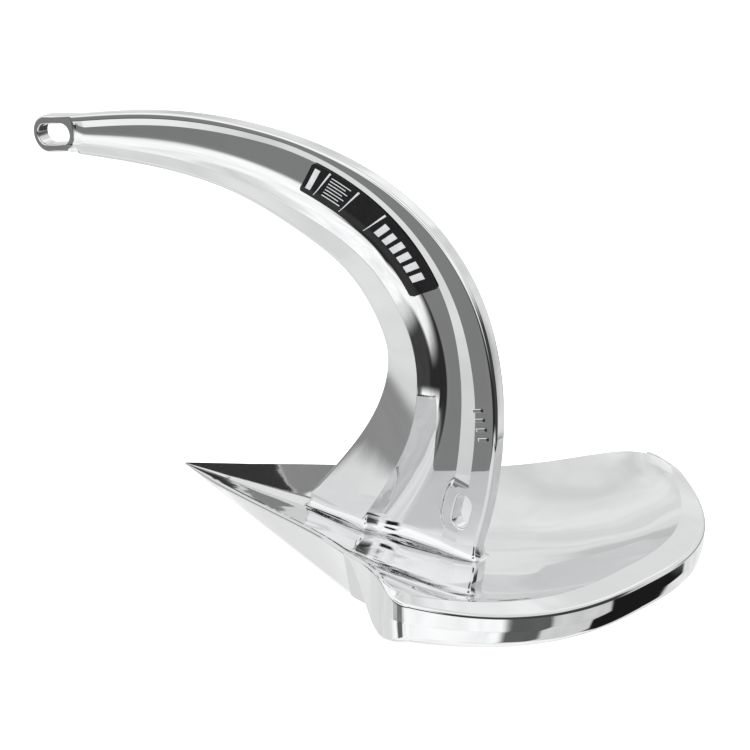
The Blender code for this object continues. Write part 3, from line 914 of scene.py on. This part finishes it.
def build_lip():
    """The rolled rear edge, which turns round both corners of the palm and runs out on the skirts."""
    half = []
    rows = 80
    for i in range(rows + 1):
        across = LIP_ROUND_FROM * math.sin(i / rows * math.pi / 2)
        point = blade_point(1.0, across)
        ahead = blade_point(1.0, across + SHARE_STEP) - blade_point(1.0, across - SHARE_STEP)
        outward = unit(np.array([ahead[1], -ahead[0]]))
        width = mix(LIP_WIDTH_MIDDLE, LIP_WIDTH_CORNER, across**3)
        drop = mix(LIP_DROP_MIDDLE, LIP_DROP_CORNER, across**2)
        low = LIP_BOTTOM_Z + LIP_CORNER_RISE * across**3
        half.append(lip_section(point, outward, width, LIP_TUCK, drop, low))
    start = point[:2] + outward * (width - LIP_TUCK)
    end = np.array([LIP_ROUND_TO_X, edge_at(LIP_ROUND_TO_X)[0] + LIP_END_OUT])
    bend = crossing(start, ahead[:2], end, np.array([-1.0, -edge_slope(LIP_ROUND_TO_X)]))
    steps = 24
    for k in range(1, steps + 1):
        t = k / steps
        part = smooth_step(t)
        wall = bend_at(start, bend, end, t)
        along = mix(bend - start, end - bend, t)
        outward = unit(np.array([along[1], -along[0]]))
        foot = mix(width - LIP_TUCK, LIP_END_FOOT, part)
        tuck = mix(LIP_TUCK, LIP_END_TUCK, part)
        base = wall - outward * foot
        place = np.array([base[0], base[1], blade_height(base[0], base[1])])
        drop = mix(LIP_DROP_CORNER, LIP_END_DROP, part)
        level = mix(low, skirt_bottom(LIP_ROUND_TO_X), part)
        turned_in = mix(LIP_RETURN, LIP_END_RETURN, part)
        half.append(lip_section(place, outward, foot + tuck, tuck, drop, level, turned_in))
    other = [[(x, -y, z) for x, y, z in row] for row in reversed(half[1:])]
    sections = other + half
    return [loft_piece("rear_lip_skin", sections, ("palm_rear_lip",))]


# ---------------------------------------------------------------- label and marks


def side_half(share, along):
    """The shank's half width at a depth behind the rounding of its rim."""
    profile = np.array(shank_profile(share)[12:])
    return float(np.interp(along, profile[:, 0], profile[:, 1]))


def label_place(a, b, lift):
    """A point of the label: a along it from 0 to 1, b across it from the rim down."""
    share = mix(LABEL_START, LABEL_END, a)
    outer, inward, depth = shank_axis(share)
    start = rim_root_depth(share) + LABEL_CLEAR
    end = LABEL_EDGE * depth
    along = mix(start, end, b)
    place = outer + inward * along
    return (place[0], -side_half(share, along) - lift, place[1])


def label_patch(points, faces, corners):
    """Adds a four-cornered patch of print given by its (a, b) corners in order round it."""
    first = len(points)
    rows = 10
    columns = 6
    low_a, low_b, high_b, high_a = [np.array(corner) for corner in corners]
    for i in range(rows + 1):
        for j in range(columns + 1):
            s = i / rows
            t = j / columns
            place = mix(mix(low_a, low_b, t), mix(high_a, high_b, t), s)
            points.append(label_place(place[0], place[1], LABEL_PRINT))
    for i in range(rows):
        for j in range(columns):
            a = first + i * (columns + 1) + j
            faces.append((a, a + 1, a + columns + 2, a + columns + 1))


def print_box(start, end, high, low):
    """The corners of a straight box of print, between two places along the label and two across it."""
    return [(start, high), (start, low), (end, low), (end, high)]


def build_label():
    """A thin vinyl with rounded corners, and plain blocks and slanted bars printed on it."""
    columns = 16
    rows = 90
    corner, corner_cut = LABEL_CORNER
    sections = []
    for i in range(rows + 1):
        a = i / rows
        near = min(a, 1.0 - a)
        cut = 0.0
        if near < corner:
            cut = corner_cut * (1.0 - math.sqrt(max(0.0, 1.0 - ((corner - near) / corner) ** 2)))
        bs = [cut + (1.0 - 2 * cut) * k / columns for k in range(columns + 1)]
        top = [label_place(a, b, LABEL_FACE) for b in bs]
        under = [label_place(a, b, LABEL_UNDER) for b in reversed(bs)]
        sections.append(top + under)
    vinyl = loft_piece("label_skin", sections, ("label",), math.radians(40))
    points = []
    faces = []
    label_patch(points, faces, print_box(*PRINT_BAND))
    for a in PRINT_SLANTS:
        label_patch(points, faces, [(a, 0.05), (a - 0.018, 0.93), (a - 0.014, 0.93), (a + 0.013, 0.05)])
    for k in range(7):
        b = 0.15 + 0.105 * k
        end = 0.285 - 0.025 * (k % 2)
        label_patch(points, faces, print_box(0.148, end, b, b + 0.030))
    for k in range(6):
        a = 0.560 + 0.066 * k
        top = 0.26 + 0.03 * (k % 2)
        label_patch(points, faces, [(a, top), (a - 0.006, 0.76), (a + 0.034, 0.76), (a + 0.040, top)])
    print_piece = make_piece("label_print", points, faces)
    return vinyl, print_piece


# ---------------------------------------------------------------- materials


def set_inputs(tree, node, inputs):
    """Sets a node's inputs, each to a value or to a link from another node's output."""
    for name, value in inputs.items():
        if isinstance(value, bpy.types.NodeSocket):
            tree.links.new(value, node.inputs[name])
        else:
            node.inputs[name].default_value = value


def add_node(tree, kind, inputs=None):
    node = tree.nodes.new("ShaderNode" + kind)
    set_inputs(tree, node, inputs or {})
    return node


def new_material(name):
    material = bpy.data.materials.new(name)
    material.use_nodes = True
    return material, material.node_tree, material.node_tree.nodes["Principled BSDF"]


def noise(tree, place, scale, detail):
    return add_node(tree, "TexNoise", {"Vector": place, "Scale": scale, "Detail": detail}).outputs["Fac"]


def map_range(tree, value, source, target):
    limits = {"From Min": source[0], "From Max": source[1], "To Min": target[0], "To Max": target[1]}
    return add_node(tree, "MapRange", {"Value": value, **limits}).outputs["Result"]


def colour_ramp(tree, value, stops):
    """A colour between two stops, each a position and a colour."""
    node = add_node(tree, "ValToRGB", {"Fac": value})
    for element, (position, colour) in zip(node.color_ramp.elements, stops):
        element.position = position
        element.color = (*colour, 1.0)
    return node.outputs["Color"]


def steel_material(name, base, roughness, streak, waviness, seed):
    """Mirror-polished steel with faint polishing lines, haze, waves and a little colour variation."""
    material, tree, shader = new_material(name)
    place = add_node(tree, "TexCoord").outputs["Object"]
    shift = add_node(tree, "Mapping", {"Vector": place, "Location": (seed, 0.37 * seed, 0.61 * seed)})
    place = shift.outputs["Vector"]
    haze = noise(tree, place, 9.0, 4.0)
    dull = tuple(0.97 * part for part in base)
    lines = {"Vector": place, "Scale": (60.0, 900.0, 260.0), "Rotation": (0.3, 0.5, 0.2)}
    polish = noise(tree, add_node(tree, "Mapping", lines).outputs["Vector"], 1.0, 2.0)
    fine = add_node(tree, "Bump", {"Strength": streak, "Distance": 0.00002, "Height": polish})
    waves = {"Strength": 0.6, "Distance": waviness, "Height": noise(tree, place, 15.0, 1.5)}
    broad = add_node(tree, "Bump", {**waves, "Normal": fine.outputs["Normal"]})
    finish = {
        "Metallic": 1.0,
        "Base Color": colour_ramp(tree, haze, [(0.30, dull), (0.70, base)]),
        "Roughness": map_range(tree, haze, (0.3, 0.7), (roughness * 0.6, roughness * 1.5)),
        "Normal": broad.outputs["Normal"],
    }
    set_inputs(tree, shader, finish)
    return material


def vinyl_material(name, colour, roughness, wear):
    """Glossy printed vinyl with faint dust and scuffs in its gloss."""
    material, tree, shader = new_material(name)
    grain = noise(tree, add_node(tree, "TexCoord").outputs["Object"], 140.0, 5.0)
    worn = tuple(part * (1.0 - wear) for part in colour)
    finish = {
        "Specular IOR Level": 0.25,
        "Base Color": colour_ramp(tree, grain, [(0.35, worn), (0.75, colour)]),
        "Roughness": map_range(tree, grain, (0.0, 1.0), (roughness * 0.7, roughness * 1.3)),
    }
    set_inputs(tree, shader, finish)
    return material


def cast_material():
    """Dull cast lead, pitted and mottled."""
    material, tree, shader = new_material("cast_lead")
    pits = noise(tree, add_node(tree, "TexCoord").outputs["Object"], 80.0, 6.0)
    bump = add_node(tree, "Bump", {"Distance": 0.0005, "Height": pits})
    finish = {
        "Metallic": 0.8,
        "Roughness": 0.6,
        "Base Color": colour_ramp(tree, pits, [(0.0, (0.20, 0.21, 0.23)), (1.0, (0.38, 0.39, 0.41))]),
        "Normal": bump.outputs["Normal"],
    }
    set_inputs(tree, shader, finish)
    return material


def dress(pieces, material):
    for piece in pieces:
        piece.data.materials.clear()
        piece.data.materials.append(material)


def dress_node(name, material):
    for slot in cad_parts[name].material_slots:
        slot.material = material


# ---------------------------------------------------------------- studio


def stage_sheet(name, low, high, finish):
    """A flat rectangle of the set, from corner low to corner high in its own plane."""
    mesh = bpy.data.meshes.new(name)
    corners = [low, (high[0], low[1]), high, (low[0], high[1])]
    mesh.from_pydata([(x, y, 0.0) for x, y in corners], [], [(0, 1, 2, 3)])
    sheet = bpy.data.objects.new(name, mesh)
    bpy.context.scene.collection.objects.link(sheet)
    material, tree, shader = new_material(name)
    set_inputs(tree, shader, finish)
    mesh.materials.append(material)
    return sheet


def build_floor():
    """Pale paper that glows a little, so that it stays pale under the anchor."""
    finish = {
        "Base Color": (0.93, 0.93, 0.93, 1.0),
        "Roughness": 0.9,
        "Emission Color": (1.0, 1.0, 1.0, 1.0),
        "Emission Strength": 0.55,
    }
    floor = stage_sheet("studio_floor", (-FLOOR_HALF, -FLOOR_HALF), (FLOOR_HALF, FLOOR_HALF), finish)
    floor.visible_glossy = False


def build_flags():
    """Cards beside the fluke's point, on its far side. Only the steel's mirror image shows them."""
    turn = FLAG_FACING.to_track_quat("Z", "Y").to_euler()
    for name, low, high, light in FLAGS:
        flag = stage_sheet(name, low, high, {"Base Color": (light, light, light, 1.0), "Roughness": 0.9})
        flag.location = TIP + FLAG_PLACE
        flag.rotation_euler = turn
        flag.visible_camera = False
        flag.visible_diffuse = False
        flag.visible_shadow = False


def linear(tone):
    """Linear light for a tone from 0 to 255 as seen on a screen."""
    part = tone / 255.0
    return part / 12.92 if part <= 0.04045 else ((part + 0.055) / 1.055) ** 2.4


def soft_step(tree, value, start, end):
    """0 before start and 1 after end, with a smooth rise between. start may be above end."""
    ramp = add_node(tree, "MapRange", {"Value": value, "From Min": start, "From Max": end})
    ramp.interpolation_type = "SMOOTHSTEP"
    return ramp.outputs["Result"]


def calculate(tree, operation, *values):
    node = add_node(tree, "Math", dict(enumerate(values)))
    node.operation = operation
    return node.outputs[0]


# What the polished steel mirrors, as soft-edged panels round the set, in degrees. Heading 0 is along +X and
# heading -90 is towards the label's side. Each is (low heading, high heading, its softness, low elevation,
# its softness, high elevation, its softness, tone), and a later panel covers an earlier one.
PANELS = [
    (-172, -28, 10, 40, 8, 95, 5, 253),
    (-166, -50, 8, 4, 14, 60, 5, 250),
    (-168, -138, 10, 44, 8, 66, 8, 222),
    (-54, 46, 10, -27, 4, 26, 22, 62),
    (-140, -112, 4, -27, 6, -2, 14, 128),
    (-118, -44, 8, -27, 4, -3, 20, 44),
    (-178, -155, 3, -18, 4, 0, 6, 138),
    (-113, -77, 14, 27, 7, 41.5, 6, 34),
    (82, 122, 6, 36, 4, 62, 10, 243),
    (-185, 185, 1, -95, 1, -32, 4, 246),
    (-185, -146, 6, -95, 1, -18, 6, 219),
    (146, 185, 6, -95, 1, -18, 6, 219),
    (70, 150, 6, -60, 4, -34, 4, 222),
    (-80, -25, 6, -60, 4, -23, 6, 250),
    (-120, -92, 10, -50, 10, -26, 8, 96),
    (134, 165, 4, 4, 6, 19, 4, 192),
    (62, 126, 8, -17, 3, -3, 12, 132),
    (-25, 4, 8, -60, 6, -22, 5, 92),
    (4, 44, 6, -60, 4, -28, 4, 206),
    (43, 76, 3, -52, 4, -24, 4, 26),
]


def build_world():
    """A pale tent with light and dark panels, which only the steel's mirror image shows."""
    world = bpy.data.worlds.new("studio")
    bpy.context.scene.world = world
    world.use_nodes = True
    tree = world.node_tree
    direction = add_node(tree, "TexCoord").outputs["Generated"]
    parts = add_node(tree, "SeparateXYZ", {"Vector": direction}).outputs
    heading = calculate(tree, "ARCTAN2", parts["Y"], parts["X"])
    lift = calculate(tree, "ARCSINE", parts["Z"])
    result = linear(TENT_TONE) * MIRROR_LIGHT
    for low, high, side_soft, base, base_soft, top, top_soft, tone in PANELS:
        edges = [
            (heading, low - side_soft / 2, low + side_soft / 2),
            (heading, high + side_soft / 2, high - side_soft / 2),
            (lift, base - base_soft / 2, base + base_soft / 2),
            (lift, top + top_soft / 2, top - top_soft / 2),
        ]
        cover = 1.0
        for value, start, end in edges:
            step = soft_step(tree, value, math.radians(start), math.radians(end))
            cover = calculate(tree, "MULTIPLY", cover, step)
        panel = {"Factor": cover, "A": result, "B": linear(tone) * MIRROR_LIGHT}
        result = add_node(tree, "Mix", panel).outputs["Result"]
    clouds = {"Vector": direction, "Scale": 4.5, "Detail": 5.0, "Distortion": 0.6}
    clouds = add_node(tree, "TexNoise", clouds).outputs["Fac"]
    uneven = map_range(tree, clouds, (0.3, 0.7), (0.84, 1.08))
    mirror = tree.nodes["Background"]
    set_inputs(tree, mirror, {"Color": calculate(tree, "MULTIPLY", result, uneven)})
    plain = add_node(tree, "Background", {"Color": (1.0, 1.0, 1.0, 1.0), "Strength": PLAIN_LIGHT})
    seen = add_node(tree, "LightPath").outputs["Is Glossy Ray"]
    lights = {"Fac": seen, 1: plain.outputs["Background"], 2: mirror.outputs["Background"]}
    choice = add_node(tree, "MixShader", lights)
    set_inputs(tree, tree.nodes["World Output"], {"Surface": choice.outputs["Shader"]})


def build_camera():
    data = bpy.data.cameras.new("photo_camera")
    data.sensor_width = 36.0
    data.lens = CAMERA_LENS
    camera = bpy.data.objects.new("photo_camera", data)
    bpy.context.scene.collection.objects.link(camera)
    back = CAMERA_BACK.normalized()
    camera.location = TIP + CAMERA_AIM + back * CAMERA_DISTANCE
    camera.rotation_euler = back.to_track_quat("Z", "Y").to_euler()
    bpy.context.scene.camera = camera
    bpy.context.scene.view_settings.view_transform = "Standard"


def main():
    steel = steel_material("polished_steel_skin", STEEL_COLOUR, 0.030, 0.30, 0.0006, seed=1.0)
    fluke_steel = steel_material("polished_steel_fluke", STEEL_COLOUR, 0.035, 0.35, 0.0022, seed=3.0)
    inner_steel = steel_material("polished_steel_plate", PLATE_COLOUR, 0.06, 0.4, 0.0006, seed=5.0)
    vinyl = vinyl_material("black_vinyl_skin", (0.010, 0.010, 0.011), roughness=0.16, wear=0.3)
    ink = vinyl_material("pale_print", (0.55, 0.56, 0.57), roughness=0.3, wear=0.15)
    shank_pieces, sections = build_shank()
    dress(shank_pieces + build_eye() + build_bulb(), steel)
    dress(build_foot(sections) + build_blade() + build_skirts() + build_lip(), fluke_steel)
    label_skin, label_print = build_label()
    dress([label_skin], vinyl)
    dress([label_print], ink)
    for name in ("underside_rib", "size_mark_1", "size_mark_2", "size_mark_3", "size_mark_4"):
        dress_node(name, inner_steel)
    dress_node("tip_ballast", cast_material())
    build_floor()
    build_flags()
    build_world()
    build_camera()


main()
